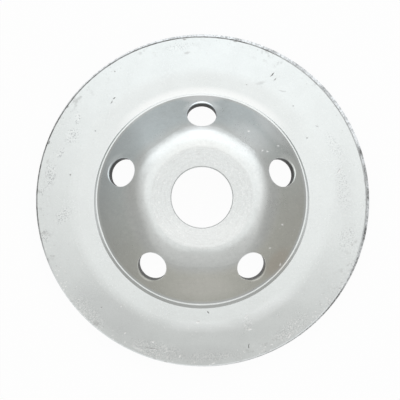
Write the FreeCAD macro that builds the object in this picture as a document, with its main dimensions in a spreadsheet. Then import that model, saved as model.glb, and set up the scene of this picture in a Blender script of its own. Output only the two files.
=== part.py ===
# Diamond grinding disc, 125 mm, for an angle grinder.
# A pressed steel dish (hub, cone with five holes, flat flange) carries a backing ring of bond
# under its flange, and thirty sintered abrasive segments stand on that ring.
# Frame: the grinding faces lie in the plane z = 0, +Z points to the hub and the grinder,
# and the Z axis is the axis of the bore. Millimetres and degrees.

import FreeCAD, Part
import math
import os

import Sketcher

# Driving sizes: name, value and what it is.
SIZES = [
    ("ring_radius", 62.3, "outer radius of the ring of segments"),
    ("segment_length", 18.8, "length of a segment along the ring's radius"),
    ("ring_shift_x", 0.5, "how far the ring sits off the bore's axis along X"),
    ("ring_shift_y", 0.5, "how far the ring sits off the bore's axis along Y"),
    ("ring_turn", 3.0, "angle of the first segment"),
    ("segment_count", 30, "segments in the ring"),
    ("rim_height", 5.0, "height from the grinding faces to the flat part of the flange"),
    ("segment_height", 2.7, "height of a segment, which is the depth of the slots"),
    ("segment_gap", 3.7, "width of the slot between two segments"),
    ("segment_slant", 24.0, "angle between a slot and the radius through its middle"),
    ("segment_corner", 0.5, "chamfer of a segment's upright edges"),
    ("sheet_thickness", 2.2, "thickness of the pressed sheet"),
    ("flange_inset", 0.65, "how much smaller the flange's radius is than the ring's"),
    ("flange_edge", 0.45, "chamfer of the flange's two outer edges"),
    ("knee_inset", 14.7, "distance from the ring's outer radius to the flange's knee"),
    ("knee_bend", 42.0, "bend radius of the flange, on its upper face"),
    ("knee_angle", 4.5, "fall of the outer flange"),
    ("coin_margin", 0.75, "width of the slope from the ledge to the flattened face"),
    ("coin_shift", 0.4, "how far the flattened face sits off the axis, towards -Y"),
    ("coin_depth", 0.7, "depth of the flattened face under the ledge round the cone"),
    ("ledge_width", 0.55, "width of the ledge at the foot of the cone"),
    ("foot_share", 0.6212, "distance from the axis to the cone's five flats at its foot, over ring_radius"),
    ("foot_flatness", 0.5, "how much less the rounding of the cone's foot is than that distance"),
    ("crown_share", 0.5672, "distance from the axis to the five flats at the hub, over that at the foot"),
    ("crown_roundness", 0.77, "rounding of the cone's outline at the hub, over its distance from the axis"),
    ("crown_rise", 9.35, "height of the hub over the ledge"),
    ("shoulder_bend", 15.0, "bend radius between hub and cone, on the upper face"),
    ("mouth_bend", 2.5, "bend radius at the mouth of the hollow, on the lower face"),
    ("bore_radius", 11.115, "radius of the bore"),
    ("bore_edge", 0.3, "chamfer at both ends of the bore"),
    ("hole_count", 5, "holes in the cone"),
    ("hole_radius", 5.4, "radius of a hole"),
    ("hole_share", 0.8036, "distance of a hole's middle from the axis, over that of the cone's foot"),
    ("hole_edge", 0.7, "rounding of a hole's outer edge, made as two narrow facets"),
]

# Radii, heights and slopes that follow from the driving sizes.
RING_INNER_RADIUS = "(Sizes.ring_radius - Sizes.segment_length)"
FLANGE_RADIUS = "(Sizes.ring_radius - Sizes.flange_inset)"
KNEE_RADIUS = "(Sizes.ring_radius - Sizes.knee_inset)"
FOOT_RADIUS = "(Sizes.ring_radius * Sizes.foot_share)"
FOOT_ROUNDING = f"({FOOT_RADIUS} - Sizes.foot_flatness)"
LEDGE_RADIUS = f"({FOOT_RADIUS} + Sizes.ledge_width)"
COIN_RADIUS = f"({LEDGE_RADIUS} + Sizes.coin_margin)"
CROWN_RADIUS = f"({FOOT_RADIUS} * Sizes.crown_share)"
CROWN_ROUNDING = f"({CROWN_RADIUS} * Sizes.crown_roundness)"
HOLE_DISTANCE = f"({FOOT_RADIUS} * Sizes.hole_share)"
FLANGE_BOTTOM = "Sizes.rim_height"
FLANGE_TOP = f"({FLANGE_BOTTOM} + Sizes.sheet_thickness)"
LEDGE_TOP = f"({FLANGE_TOP} + Sizes.coin_depth)"
HUB_TOP = f"({LEDGE_TOP} + Sizes.crown_rise)"
HUB_BOTTOM = f"({HUB_TOP} - Sizes.sheet_thickness)"
HALF_SIDE = "(180 / Sizes.hole_count)"
CORNER_FOOT = f"(({FOOT_RADIUS} - {FOOT_ROUNDING}) / cos({HALF_SIDE}) + {FOOT_ROUNDING})"
CORNER_CROWN = f"(({CROWN_RADIUS} - {CROWN_ROUNDING}) / cos({HALF_SIDE}) + {CROWN_ROUNDING})"
FLAT_SLOPE = f"atan(Sizes.crown_rise / ({FOOT_RADIUS} - {CROWN_RADIUS}))"
CORNER_SLOPE = f"atan(Sizes.crown_rise / ({CORNER_FOOT} - {CORNER_CROWN}))"
# The hollow's outline is the cone's, drawn in by this much at the hub and out at the mouth.
HOLLOW_DRAW_IN = f"(Sizes.sheet_thickness * tan({FLAT_SLOPE} / 2))"
HOLLOW_DRAW_OUT = (
    f"((Sizes.coin_depth + Sizes.sheet_thickness) / tan({FLAT_SLOPE})"
    f" - Sizes.sheet_thickness / sin({FLAT_SLOPE}))"
)

# How far in from a hole's corner the two facets of its lip meet.
EASED = "(Sizes.hole_edge * (1 - cos(45)))"

START, END, CENTRE = 1, 2, 3
ORIGIN = (-1, 1)
HORIZONTAL_AXIS = -1
VERTICAL_AXIS = -2
EIGHTH_TURN = 45.0
QUARTER_TURN = 90.0
HALF_TURN = 180.0
FULL_TURN = 360.0
# The angle of the first hole, which lies on +Y.
FIRST_HOLE = 90.0
UP = FreeCAD.Vector(0, 0, 1)
# A cutting shape reaches this far past the faces that it cuts.
OVERSHOOT = 2.0
# Two lengths closer than this count as equal.
CLOSE = 0.001


def make_sheet(document):
    """Puts the driving sizes into the document's sheet."""
    sheet = document.addObject("Spreadsheet::Sheet", "Sizes")
    for row, (name, value, meaning) in enumerate(SIZES, start=1):
        sheet.set(f"A{row}", name)
        sheet.set(f"B{row}", str(value))
        sheet.set(f"C{row}", meaning)
        sheet.setAlias(f"B{row}", name)
    document.recompute()
    return sheet


class Measures:
    """The sheet's sizes, read by name, with the heights and slopes that follow from them."""

    def __init__(self, sheet):
        self.sheet = sheet

    def __getattr__(self, name):
        return float(self.sheet.get(name))

    @property
    def ring_inner_radius(self):
        return self.ring_radius - self.segment_length

    @property
    def flange_radius(self):
        return self.ring_radius - self.flange_inset

    @property
    def knee_radius(self):
        return self.ring_radius - self.knee_inset

    @property
    def foot_radius(self):
        return self.ring_radius * self.foot_share

    @property
    def foot_rounding(self):
        return self.foot_radius - self.foot_flatness

    @property
    def ledge_radius(self):
        return self.foot_radius + self.ledge_width

    @property
    def coin_radius(self):
        return self.ledge_radius + self.coin_margin

    @property
    def crown_radius(self):
        return self.foot_radius * self.crown_share

    @property
    def crown_rounding(self):
        return self.crown_radius * self.crown_roundness

    @property
    def flange_top(self):
        return self.rim_height + self.sheet_thickness

    @property
    def ledge_top(self):
        return self.flange_top + self.coin_depth

    @property
    def hub_top(self):
        return self.ledge_top + self.crown_rise

    @property
    def flat_slope(self):
        return math.atan(self.crown_rise / (self.foot_radius - self.crown_radius))

    @property
    def pitch(self):
        return FULL_TURN / self.segment_count


def polar(radius, degrees, centre=(0.0, 0.0)):
    """The point at a radius and an angle from a centre, in a sketch's plane."""
    turn = math.radians(degrees)
    return (centre[0] + radius * math.cos(turn), centre[1] + radius * math.sin(turn))


def new_sketch(body, name, role):
    """A sketch on one of the body's own origin planes."""
    plane = next(feature for feature in body.Origin.OriginFeatures if feature.Role == role)
    sketch = body.newObject("Sketcher::SketchObject", name)
    sketch.AttachmentSupport = (plane, [""])
    sketch.MapMode = "FlatFace"
    return sketch


def lift(sketch, formula):
    """Raises a sketch from its plane by a formula on the sheet."""
    sketch.setExpression("AttachmentOffset.Base.z", f"{formula} * 1 mm")


def add_line(sketch, start, end):
    """Draws a straight edge and gives its number."""
    first = FreeCAD.Vector(start[0], start[1], 0)
    last = FreeCAD.Vector(end[0], end[1], 0)
    return sketch.addGeometry(Part.LineSegment(first, last), False)


def add_arc(sketch, centre, radius, first, last):
    """Draws an arc from one angle anticlockwise to another and gives its number."""
    circle = Part.Circle(FreeCAD.Vector(centre[0], centre[1], 0), UP, radius)
    return sketch.addGeometry(Part.ArcOfCircle(circle, math.radians(first), math.radians(last)), False)


def rule(sketch, kind, *where):
    """Adds a constraint that holds no size."""
    sketch.addConstraint(Sketcher.Constraint(kind, *where))


def bind(sketch, kind, *where, formula):
    """Adds a constraint that holds a size and ties it to a formula on the sheet."""
    index = sketch.addConstraint(Sketcher.Constraint(kind, *where))
    unit = "deg" if kind == "Angle" else "mm"
    sketch.setExpression(f"Constraints[{index}]", f"({formula}) * 1 {unit}")


def add_circle(sketch, centre, radius, formula):
    """Draws a circle whose radius follows a formula."""
    circle = Part.Circle(FreeCAD.Vector(centre[0], centre[1], 0), UP, radius)
    edge = sketch.addGeometry(circle, False)
    bind(sketch, "Radius", edge, radius, formula=formula)
    return edge


def rounded_pentagon(sketch, size, radius, rounding, radius_formula, rounding_formula):
    """The cone's outline at one height: a flat between each two holes, rounded at each hole."""
    sides = int(size.hole_count)
    half = HALF_TURN / sides
    rounding_centre = (radius - rounding) / math.cos(math.radians(half))
    arcs = []
    flats = []
    for side in range(sides):
        facing = FIRST_HOLE + 2 * half * side
        centre = polar(rounding_centre, facing)
        next_centre = polar(rounding_centre, facing + 2 * half)
        arcs.append(add_arc(sketch, centre, rounding, facing - half, facing + half))
        start = polar(rounding, facing + half, centre)
        flats.append(add_line(sketch, start, polar(rounding, facing + half, next_centre)))
    for side in range(sides):
        rule(sketch, "Tangent", arcs[side], END, flats[side], START)
        rule(sketch, "Tangent", flats[side], END, arcs[(side + 1) % sides], START)
        bind(sketch, "Distance", *ORIGIN, flats[side], radius, formula=radius_formula)
        heading = FIRST_HOLE + half * (2 * side + 1) + QUARTER_TURN
        heading = (heading + HALF_TURN) % FULL_TURN - HALF_TURN
        rule(sketch, "Angle", flats[side], math.radians(heading))
    for arc in arcs[1:]:
        rule(sketch, "Equal", arcs[0], arc)
    bind(sketch, "Radius", arcs[0], rounding, formula=rounding_formula)


def flange_underside(sketch, size, inner_radius, outer_radius):
    """The lower face of the flange in section: flat, then down from the knee."""
    level = size.rim_height
    angle = math.radians(size.knee_angle)
    fall = (outer_radius - size.knee_radius) * math.tan(angle)
    flat = add_line(sketch, (inner_radius, level), (size.knee_radius, level))
    slope = add_line(sketch, (size.knee_radius, level), (outer_radius, level - fall))
    rule(sketch, "Horizontal", flat)
    rule(sketch, "Coincident", flat, END, slope, START)
    bind(sketch, "DistanceY", *ORIGIN, flat, START, level, formula=FLANGE_BOTTOM)
    bind(sketch, "DistanceX", *ORIGIN, flat, END, size.knee_radius, formula=KNEE_RADIUS)
    bind(sketch, "Angle", slope, -angle, formula="-Sizes.knee_angle")
    return flat, slope


def brim_section(sketch, size):
    """Half section of the flange with the ledge, filled up to the axis."""
    angle = math.radians(size.knee_angle)
    sheet = size.sheet_thickness
    edge = size.flange_edge
    along = polar(edge, -size.knee_angle)
    across = polar(edge, QUARTER_TURN - size.knee_angle)
    rim_low_x = size.flange_radius - (sheet - 2 * edge) * math.sin(angle)
    flat, slope = flange_underside(sketch, size, 0.0, rim_low_x - along[0] - across[0])
    slope_end = sketch.getPoint(slope, END)
    rim_low = (slope_end.x + along[0] + across[0], slope_end.y + along[1] + across[1])
    rim_high = polar(sheet - 2 * edge, QUARTER_TURN - size.knee_angle, rim_low)
    slope_start = (rim_high[0] + across[0] - along[0], rim_high[1] + across[1] - along[1])
    # The upper face keeps the sheet's thickness beyond the knee, which sets where its bend lies.
    bend_middle = size.knee_radius + sheet * math.tan(angle / 2)
    bend_centre = (bend_middle - size.knee_bend * math.tan(angle / 2), size.flange_top - size.knee_bend)
    bend_end = polar(size.knee_bend, QUARTER_TURN - size.knee_angle, bend_centre)
    ledge_radius = size.ledge_radius
    low_edge = add_line(sketch, (slope_end.x, slope_end.y), rim_low)
    rim = add_line(sketch, rim_low, rim_high)
    high_edge = add_line(sketch, rim_high, slope_start)
    top_slope = add_line(sketch, slope_start, bend_end)
    bend = add_arc(
        sketch, bend_centre, size.knee_bend, QUARTER_TURN - size.knee_angle, QUARTER_TURN
    )
    top_flat = add_line(sketch, (bend_centre[0], size.flange_top), (ledge_radius, size.flange_top))
    step = add_line(sketch, (ledge_radius, size.flange_top), (ledge_radius, size.ledge_top))
    ledge = add_line(sketch, (ledge_radius, size.ledge_top), (0, size.ledge_top))
    axis = add_line(sketch, (0, size.ledge_top), (0, size.rim_height))
    rule(sketch, "Coincident", slope, END, low_edge, START)
    rule(sketch, "Coincident", low_edge, END, rim, START)
    rule(sketch, "Coincident", rim, END, high_edge, START)
    rule(sketch, "Coincident", high_edge, END, top_slope, START)
    rule(sketch, "Tangent", top_slope, END, bend, START)
    rule(sketch, "Tangent", bend, END, top_flat, START)
    rule(sketch, "Coincident", top_flat, END, step, START)
    rule(sketch, "Coincident", step, END, ledge, START)
    rule(sketch, "Coincident", ledge, END, axis, START)
    rule(sketch, "Coincident", axis, END, flat, START)
    rule(sketch, "Perpendicular", slope, rim)
    rule(sketch, "Perpendicular", top_slope, rim)
    rule(sketch, "Perpendicular", low_edge, high_edge)
    rule(sketch, "Equal", low_edge, high_edge)
    rule(sketch, "Horizontal", top_flat)
    rule(sketch, "Vertical", step)
    rule(sketch, "Horizontal", ledge)
    rule(sketch, "Vertical", axis)
    rule(sketch, "PointOnObject", axis, START, VERTICAL_AXIS)
    bind(sketch, "Radius", bend, size.knee_bend, formula="Sizes.knee_bend")
    bind(
        sketch, "Distance", low_edge, edge * math.sqrt(2),
        formula="Sizes.flange_edge * sqrt(2)",
    )
    bind(
        sketch, "Angle", low_edge, math.radians(EIGHTH_TURN - size.knee_angle),
        formula=f"{EIGHTH_TURN} - Sizes.knee_angle",
    )
    bind(
        sketch, "Distance", rim, sheet - 2 * edge,
        formula="Sizes.sheet_thickness - 2 * Sizes.flange_edge",
    )
    bind(sketch, "DistanceX", *ORIGIN, rim, END, size.flange_radius, formula=FLANGE_RADIUS)
    bind(sketch, "DistanceY", *ORIGIN, top_flat, END, size.flange_top, formula=FLANGE_TOP)
    bind(sketch, "DistanceY", *ORIGIN, ledge, END, size.ledge_top, formula=LEDGE_TOP)
    bind(sketch, "DistanceX", *ORIGIN, ledge, START, ledge_radius, formula=LEDGE_RADIUS)


def edges_where(feature, wanted):
    """Names of a feature's edges for which a test holds."""
    names = []
    for number, edge in enumerate(feature.Shape.Edges, start=1):
        if wanted(edge):
            names.append(f"Edge{number}")
    return names


def lies_at_height(height):
    """A test for edges that lie flat at one height."""
    def test(edge):
        box = edge.BoundBox
        return abs(box.ZMin - height) < CLOSE and abs(box.ZMax - height) < CLOSE
    return test


def add_fillet(body, name, base, edges, radius_name):
    """Rounds edges by a radius from the sheet."""
    fillet = body.newObject("PartDesign::Fillet", name)
    fillet.Base = (base, edges)
    fillet.setExpression("Radius", f"Sizes.{radius_name} * 1 mm")
    body.Document.recompute()
    return fillet


def build_crown(body, size):
    """The raised cone, from a near-round foot to a rounded pentagon at the hub."""
    crown_outline = new_sketch(body, "crown_outline", "XY_Plane")
    lift(crown_outline, HUB_TOP)
    rounded_pentagon(
        crown_outline, size, size.crown_radius, size.crown_rounding, CROWN_RADIUS, CROWN_ROUNDING
    )
    foot_outline = new_sketch(body, "foot_outline", "XY_Plane")
    lift(foot_outline, LEDGE_TOP)
    rounded_pentagon(
        foot_outline, size, size.foot_radius, size.foot_rounding, FOOT_RADIUS, FOOT_ROUNDING
    )
    body.Document.recompute()
    crown = body.newObject("PartDesign::AdditiveLoft", "crown")
    crown.Profile = crown_outline
    crown.Sections = [foot_outline]
    crown.Ruled = True
    body.Document.recompute()
    rim = edges_where(crown, lies_at_height(size.hub_top))
    return add_fillet(body, "shoulder", crown, rim, "shoulder_bend")


def build_coined_step(body, size):
    """The slope from the ledge down to the flattened face, which sits off the axis."""
    upper = new_sketch(body, "step_upper_edge", "XY_Plane")
    lift(upper, LEDGE_TOP)
    top = add_circle(upper, (0, 0), size.ledge_radius, LEDGE_RADIUS)
    rule(upper, "Coincident", top, CENTRE, *ORIGIN)
    lower = new_sketch(body, "step_lower_edge", "XY_Plane")
    lift(lower, FLANGE_TOP)
    foot = add_circle(lower, (0, -size.coin_shift), size.coin_radius, COIN_RADIUS)
    rule(lower, "PointOnObject", foot, CENTRE, VERTICAL_AXIS)
    bind(lower, "DistanceY", foot, CENTRE, *ORIGIN, size.coin_shift, formula="Sizes.coin_shift")
    body.Document.recompute()
    step = body.newObject("PartDesign::AdditiveLoft", "coined_step")
    step.Profile = upper
    step.Sections = [lower]
    step.Ruled = True
    body.Document.recompute()


def build_hollow(body, size):
    """The hollow under hub and cone, which leaves the sheet its thickness."""
    sheet = size.sheet_thickness
    draw_in = sheet * math.tan(size.flat_slope / 2)
    draw_out = (size.coin_depth + sheet) / math.tan(size.flat_slope) - sheet / math.sin(size.flat_slope)
    roof = new_sketch(body, "hollow_roof", "XY_Plane")
    lift(roof, HUB_BOTTOM)
    rounded_pentagon(
        roof, size, size.crown_radius - draw_in, size.crown_rounding - draw_in,
        f"{CROWN_RADIUS} - {HOLLOW_DRAW_IN}", f"{CROWN_ROUNDING} - {HOLLOW_DRAW_IN}",
    )
    mouth = new_sketch(body, "hollow_mouth", "XY_Plane")
    lift(mouth, FLANGE_BOTTOM)
    rounded_pentagon(
        mouth, size, size.foot_radius + draw_out, size.foot_rounding + draw_out,
        f"{FOOT_RADIUS} + {HOLLOW_DRAW_OUT}", f"{FOOT_ROUNDING} + {HOLLOW_DRAW_OUT}",
    )
    body.Document.recompute()
    hollow = body.newObject("PartDesign::SubtractiveLoft", "hollow")
    hollow.Profile = roof
    hollow.Sections = [mouth]
    hollow.Ruled = True
    body.Document.recompute()
    return hollow


def round_hollow(body, size, hollow):
    """Eases the sheet's lower face at the hub and bends it at the mouth of the hollow."""
    roof_edges = edges_where(hollow, lies_at_height(size.hub_top - size.sheet_thickness))
    inner = body.newObject("PartDesign::Chamfer", "inner_shoulder")
    inner.Base = (hollow, roof_edges)
    # A plain facet that stands for the lower bend, narrower than it so that the sheet stays even.
    inner_bend = "(Sizes.shoulder_bend - 2 * Sizes.sheet_thickness)"
    inner.setExpression("Size", f"{inner_bend} * tan({FLAT_SLOPE} / 2) * 1 mm")
    body.Document.recompute()
    at_mouth = lies_at_height(size.rim_height)
    mouth_edges = edges_where(inner, lambda edge: at_mouth(edge) and edge.BoundBox.XLength < size.knee_radius)
    return add_fillet(body, "mouth", inner, mouth_edges, "mouth_bend")


def build_bore(body, size):
    """The bore through the hub, with a chamfer at each end."""
    outline = new_sketch(body, "bore_outline", "XY_Plane")
    lift(outline, HUB_TOP)
    edge = add_circle(outline, (0, 0), size.bore_radius, "Sizes.bore_radius")
    rule(outline, "Coincident", edge, CENTRE, *ORIGIN)
    body.Document.recompute()
    bore = body.newObject("PartDesign::Pocket", "bore")
    bore.Profile = outline
    bore.Midplane = True
    bore.setExpression("Length", f"2 * (Sizes.sheet_thickness + {OVERSHOOT}) * 1 mm")
    body.Document.recompute()
    ends = edges_where(bore, lambda edge: is_circle(edge, size.bore_radius))
    chamfer = body.newObject("PartDesign::Chamfer", "bore_chamfer")
    chamfer.Base = (bore, ends)
    chamfer.setExpression("Size", "Sizes.bore_edge * 1 mm")
    body.Document.recompute()
    return chamfer


def is_circle(edge, radius):
    """Whether an edge is part of a circle of one radius."""
    curve = edge.Curve
    return isinstance(curve, Part.Circle) and abs(curve.Radius - radius) < CLOSE


def hole_section(sketch, size):
    """Half section of what a hole takes away: its wall and the rounded lip, about its axis."""
    deep = -size.sheet_thickness - OVERSHOOT
    lip = size.hole_edge
    reach = size.hole_radius + lip
    floor = add_line(sketch, (0, deep), (size.hole_radius, deep))
    wall = add_line(sketch, (size.hole_radius, deep), (size.hole_radius, -lip))
    middle = polar(lip, HALF_TURN - EIGHTH_TURN, (reach, -lip))
    low_facet = add_line(sketch, (size.hole_radius, -lip), middle)
    high_facet = add_line(sketch, middle, (reach, 0))
    side = add_line(sketch, (reach, 0), (reach, OVERSHOOT))
    roof = add_line(sketch, (reach, OVERSHOOT), (0, OVERSHOOT))
    axis = add_line(sketch, (0, OVERSHOOT), (0, deep))
    rule(sketch, "Coincident", floor, END, wall, START)
    rule(sketch, "Coincident", wall, END, low_facet, START)
    rule(sketch, "Coincident", low_facet, END, high_facet, START)
    rule(sketch, "Coincident", high_facet, END, side, START)
    rule(sketch, "Coincident", side, END, roof, START)
    rule(sketch, "Coincident", roof, END, axis, START)
    rule(sketch, "Coincident", axis, END, floor, START)
    rule(sketch, "Horizontal", floor)
    rule(sketch, "Vertical", wall)
    rule(sketch, "Vertical", side)
    rule(sketch, "Horizontal", roof)
    rule(sketch, "PointOnObject", axis, START, VERTICAL_AXIS)
    rule(sketch, "PointOnObject", axis, END, VERTICAL_AXIS)
    rule(sketch, "PointOnObject", side, START, HORIZONTAL_AXIS)
    bind(sketch, "DistanceY", wall, END, *ORIGIN, lip, formula="Sizes.hole_edge")
    bind(
        sketch, "DistanceX", *ORIGIN, side, START, reach,
        formula="Sizes.hole_radius + Sizes.hole_edge",
    )
    bind(sketch, "DistanceX", *ORIGIN, low_facet, END, middle[0], formula=f"Sizes.hole_radius + {EASED}")
    bind(sketch, "DistanceY", low_facet, END, *ORIGIN, -middle[1], formula=EASED)
    bind(sketch, "DistanceX", *ORIGIN, wall, START, size.hole_radius, formula="Sizes.hole_radius")
    bind(sketch, "DistanceY", *ORIGIN, axis, START, OVERSHOOT, formula=str(OVERSHOOT))
    bind(
        sketch, "DistanceY", floor, START, *ORIGIN, -deep,
        formula=f"Sizes.sheet_thickness + {OVERSHOOT}",
    )


def build_holes(body, size):
    """Five holes, each bored square to the cone, with a rounded lip on the upper face."""
    section = new_sketch(body, "hole_section", "YZ_Plane")
    lean = FreeCAD.Rotation(UP, -math.degrees(size.flat_slope))
    section.AttachmentOffset = FreeCAD.Placement(FreeCAD.Vector(0, 0, 0), lean)
    section.setExpression("AttachmentOffset.Base.x", f"{HOLE_DISTANCE} * 1 mm")
    rise = f"({CORNER_FOOT} - {HOLE_DISTANCE}) * tan({CORNER_SLOPE})"
    section.setExpression("AttachmentOffset.Base.y", f"({LEDGE_TOP} + {rise}) * 1 mm")
    section.setExpression("AttachmentOffset.Rotation.Angle", f"-{CORNER_SLOPE}")
    hole_section(section, size)
    body.Document.recompute()
    hole = body.newObject("PartDesign::Groove", "hole")
    hole.Profile = section
    hole.ReferenceAxis = (section, ["V_Axis"])
    hole.Angle = FULL_TURN
    body.Document.recompute()
    holes = body.newObject("PartDesign::PolarPattern", "holes")
    holes.Originals = [hole]
    axis = next(feature for feature in body.Origin.OriginFeatures if feature.Role == "Z_Axis")
    holes.Axis = (axis, [""])
    holes.Angle = FULL_TURN
    holes.Occurrences = int(size.hole_count)
    return holes


def build_dish(document, size):
    """The pressed steel dish."""
    body = document.addObject("PartDesign::Body", "steel_body")
    body.Label = "steel_body"
    section = new_sketch(body, "brim_section", "XZ_Plane")
    brim_section(section, size)
    document.recompute()
    brim = body.newObject("PartDesign::Revolution", "brim")
    brim.Profile = section
    brim.ReferenceAxis = (section, ["V_Axis"])
    brim.Angle = FULL_TURN
    document.recompute()
    build_crown(body, size)
    build_coined_step(body, size)
    hollow = build_hollow(body, size)
    round_hollow(body, size, hollow)
    build_bore(body, size)
    body.Tip = build_holes(body, size)
    document.recompute()
    return body


def segment_outline(sketch, size):
    """A segment seen from below: two arcs of the ring and two slanted flanks."""
    middle = (size.ring_radius + size.ring_inner_radius) / 2
    slant = math.radians(size.segment_slant)
    half_pitch = size.pitch / 2
    radii = (size.ring_inner_radius, size.ring_radius)
    corners = []
    for turn, side in ((-half_pitch, 1), (half_pitch, -1)):
        # Distance of the flank's line from the ring's centre, along the line's left normal.
        offset = -middle * math.sin(slant) + side * size.segment_gap / 2
        for radius in radii:
            bearing = turn + size.segment_slant + math.degrees(math.asin(offset / radius))
            corners.append(polar(radius, bearing))
    inner_right, outer_right, inner_left, outer_left = corners
    bearing = [math.degrees(math.atan2(point[1], point[0])) for point in corners]
    right = add_line(sketch, inner_right, outer_right)
    outer = add_arc(sketch, (0, 0), size.ring_radius, bearing[1], bearing[3])
    left = add_line(sketch, outer_left, inner_left)
    inner = add_arc(sketch, (0, 0), size.ring_inner_radius, bearing[0], bearing[2])
    rule(sketch, "Coincident", right, END, outer, START)
    rule(sketch, "Coincident", outer, END, left, START)
    rule(sketch, "Coincident", left, END, inner, END)
    rule(sketch, "Coincident", inner, START, right, START)
    rule(sketch, "Coincident", outer, CENTRE, *ORIGIN)
    rule(sketch, "Coincident", inner, CENTRE, *ORIGIN)
    bind(sketch, "Radius", outer, size.ring_radius, formula="Sizes.ring_radius")
    bind(sketch, "Radius", inner, size.ring_inner_radius, formula=RING_INNER_RADIUS)
    lean = f"(Sizes.ring_radius + {RING_INNER_RADIUS}) / 2 * sin(Sizes.segment_slant)"
    reach = middle * math.sin(slant)
    half_gap = size.segment_gap / 2
    bind(
        sketch, "Distance", *ORIGIN, right, reach - half_gap,
        formula=f"{lean} - Sizes.segment_gap / 2",
    )
    bind(
        sketch, "Distance", *ORIGIN, left, reach + half_gap,
        formula=f"{lean} + Sizes.segment_gap / 2",
    )
    bind(
        sketch, "Angle", right, math.radians(size.segment_slant - half_pitch),
        formula="Sizes.segment_slant - 180 / Sizes.segment_count",
    )
    bind(
        sketch, "Angle", left, math.radians(size.segment_slant + half_pitch - HALF_TURN),
        formula="Sizes.segment_slant + 180 / Sizes.segment_count - 180",
    )


def seat_section(sketch, size):
    """Half section of what is cut off the backing ring so that it fits under the flange."""
    near = size.ring_inner_radius - OVERSHOOT
    far = size.ring_radius + 2 * OVERSHOOT
    above = size.rim_height + 2 * OVERSHOOT
    flat, slope = flange_underside(sketch, size, near, far)
    slope_end = sketch.getPoint(slope, END)
    outer = add_line(sketch, (slope_end.x, slope_end.y), (far, above))
    roof = add_line(sketch, (far, above), (near, above))
    inner = add_line(sketch, (near, above), (near, size.rim_height))
    rule(sketch, "Coincident", slope, END, outer, START)
    rule(sketch, "Coincident", outer, END, roof, START)
    rule(sketch, "Coincident", roof, END, inner, START)
    rule(sketch, "Coincident", inner, END, flat, START)
    rule(sketch, "Vertical", outer)
    rule(sketch, "Horizontal", roof)
    rule(sketch, "Vertical", inner)
    bind(
        sketch, "DistanceX", *ORIGIN, inner, START, near,
        formula=f"{RING_INNER_RADIUS} - {OVERSHOOT}",
    )
    bind(
        sketch, "DistanceX", *ORIGIN, outer, END, far,
        formula=f"Sizes.ring_radius + {2 * OVERSHOOT}",
    )
    bind(
        sketch, "DistanceY", *ORIGIN, roof, END, above,
        formula=f"Sizes.rim_height + {2 * OVERSHOOT}",
    )


def set_off_axis(sketch):
    """Moves a sketch to where the abrasive ring sits."""
    sketch.setExpression("AttachmentOffset.Base.x", "Sizes.ring_shift_x * 1 mm")
    sketch.setExpression("AttachmentOffset.Base.y", "Sizes.ring_shift_y * 1 mm")


def build_backing(document, size):
    """The backing ring, which fills the space between the flange and the segments."""
    body = document.addObject("PartDesign::Body", "backing_ring")
    body.Label = "backing_ring"
    outline = new_sketch(body, "backing_outline", "XY_Plane")
    lift(outline, "Sizes.segment_height")
    set_off_axis(outline)
    outer = add_circle(outline, (0, 0), size.ring_radius, "Sizes.ring_radius")
    inner = add_circle(outline, (0, 0), size.ring_inner_radius, RING_INNER_RADIUS)
    rule(outline, "Coincident", outer, CENTRE, *ORIGIN)
    rule(outline, "Coincident", inner, CENTRE, *ORIGIN)
    document.recompute()
    blank = body.newObject("PartDesign::Pad", "backing_blank")
    blank.Profile = outline
    blank.setExpression("Length", f"({FLANGE_BOTTOM} - Sizes.segment_height + {OVERSHOOT}) * 1 mm")
    document.recompute()
    section = new_sketch(body, "seat_section", "XZ_Plane")
    seat_section(section, size)
    document.recompute()
    seat = body.newObject("PartDesign::Groove", "seat")
    seat.Profile = section
    seat.ReferenceAxis = (section, ["V_Axis"])
    seat.Angle = FULL_TURN
    document.recompute()
    body.Tip = seat
    return body


def build_segment(document, size, number):
    """One abrasive segment, which stands under the backing ring."""
    name = f"segment_{number:02d}"
    body = document.addObject("PartDesign::Body", name)
    body.Label = name
    outline = new_sketch(body, f"{name}_outline", "XY_Plane")
    segment_outline(outline, size)
    set_off_axis(outline)
    turn = f"(Sizes.ring_turn + 360 / Sizes.segment_count * {number - 1}) * 1 deg"
    outline.setExpression("AttachmentOffset.Rotation.Angle", turn)
    document.recompute()
    block = body.newObject("PartDesign::Pad", f"{name}_block")
    block.Profile = outline
    block.setExpression("Length", "Sizes.segment_height * 1 mm")
    document.recompute()
    corners = body.newObject("PartDesign::Chamfer", f"{name}_corners")
    corners.Base = (block, edges_where(block, is_upright))
    corners.setExpression("Size", "Sizes.segment_corner * 1 mm")
    body.Tip = corners
    return body


def is_upright(edge):
    """Whether an edge runs straight up."""
    box = edge.BoundBox
    return box.ZLength > CLOSE and box.XLength < CLOSE and box.YLength < CLOSE


def check(document, bodies):
    """Stops if a feature failed or a solid isn't sound."""
    for item in document.Objects:
        if "Invalid" in item.State or "Error" in item.State:
            raise RuntimeError(f"{item.Name} failed: {item.State}")
    for body in bodies:
        shape = body.Shape
        if shape.isNull() or not shape.isValid() or len(shape.Solids) != 1:
            raise RuntimeError(f"{body.Label} isn't one sound solid")


def main():
    """Builds the disc and writes each piece to its own file."""
    document = FreeCAD.newDocument("diamond_grinding_disc")
    size = Measures(make_sheet(document))
    bodies = [build_dish(document, size), build_backing(document, size)]
    for number in range(1, int(size.segment_count) + 1):
        bodies.append(build_segment(document, size, number))
    document.recompute()
    check(document, bodies)
    os.makedirs("parts", exist_ok=True)
    for body in bodies:
        body.Shape.exportStep(f"parts/{body.Label}.step")
        print(f"{body.Label}: {body.Shape.Volume:.1f} mm3")


main()
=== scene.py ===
"""Looks of the diamond grinding disc: painted pressed steel, a sintered abrasive ring and a small studio."""

from __future__ import annotations

import logging
import math
import random
from dataclasses import dataclass, field
from enum import Enum
from functools import reduce
from typing import Sequence

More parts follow.
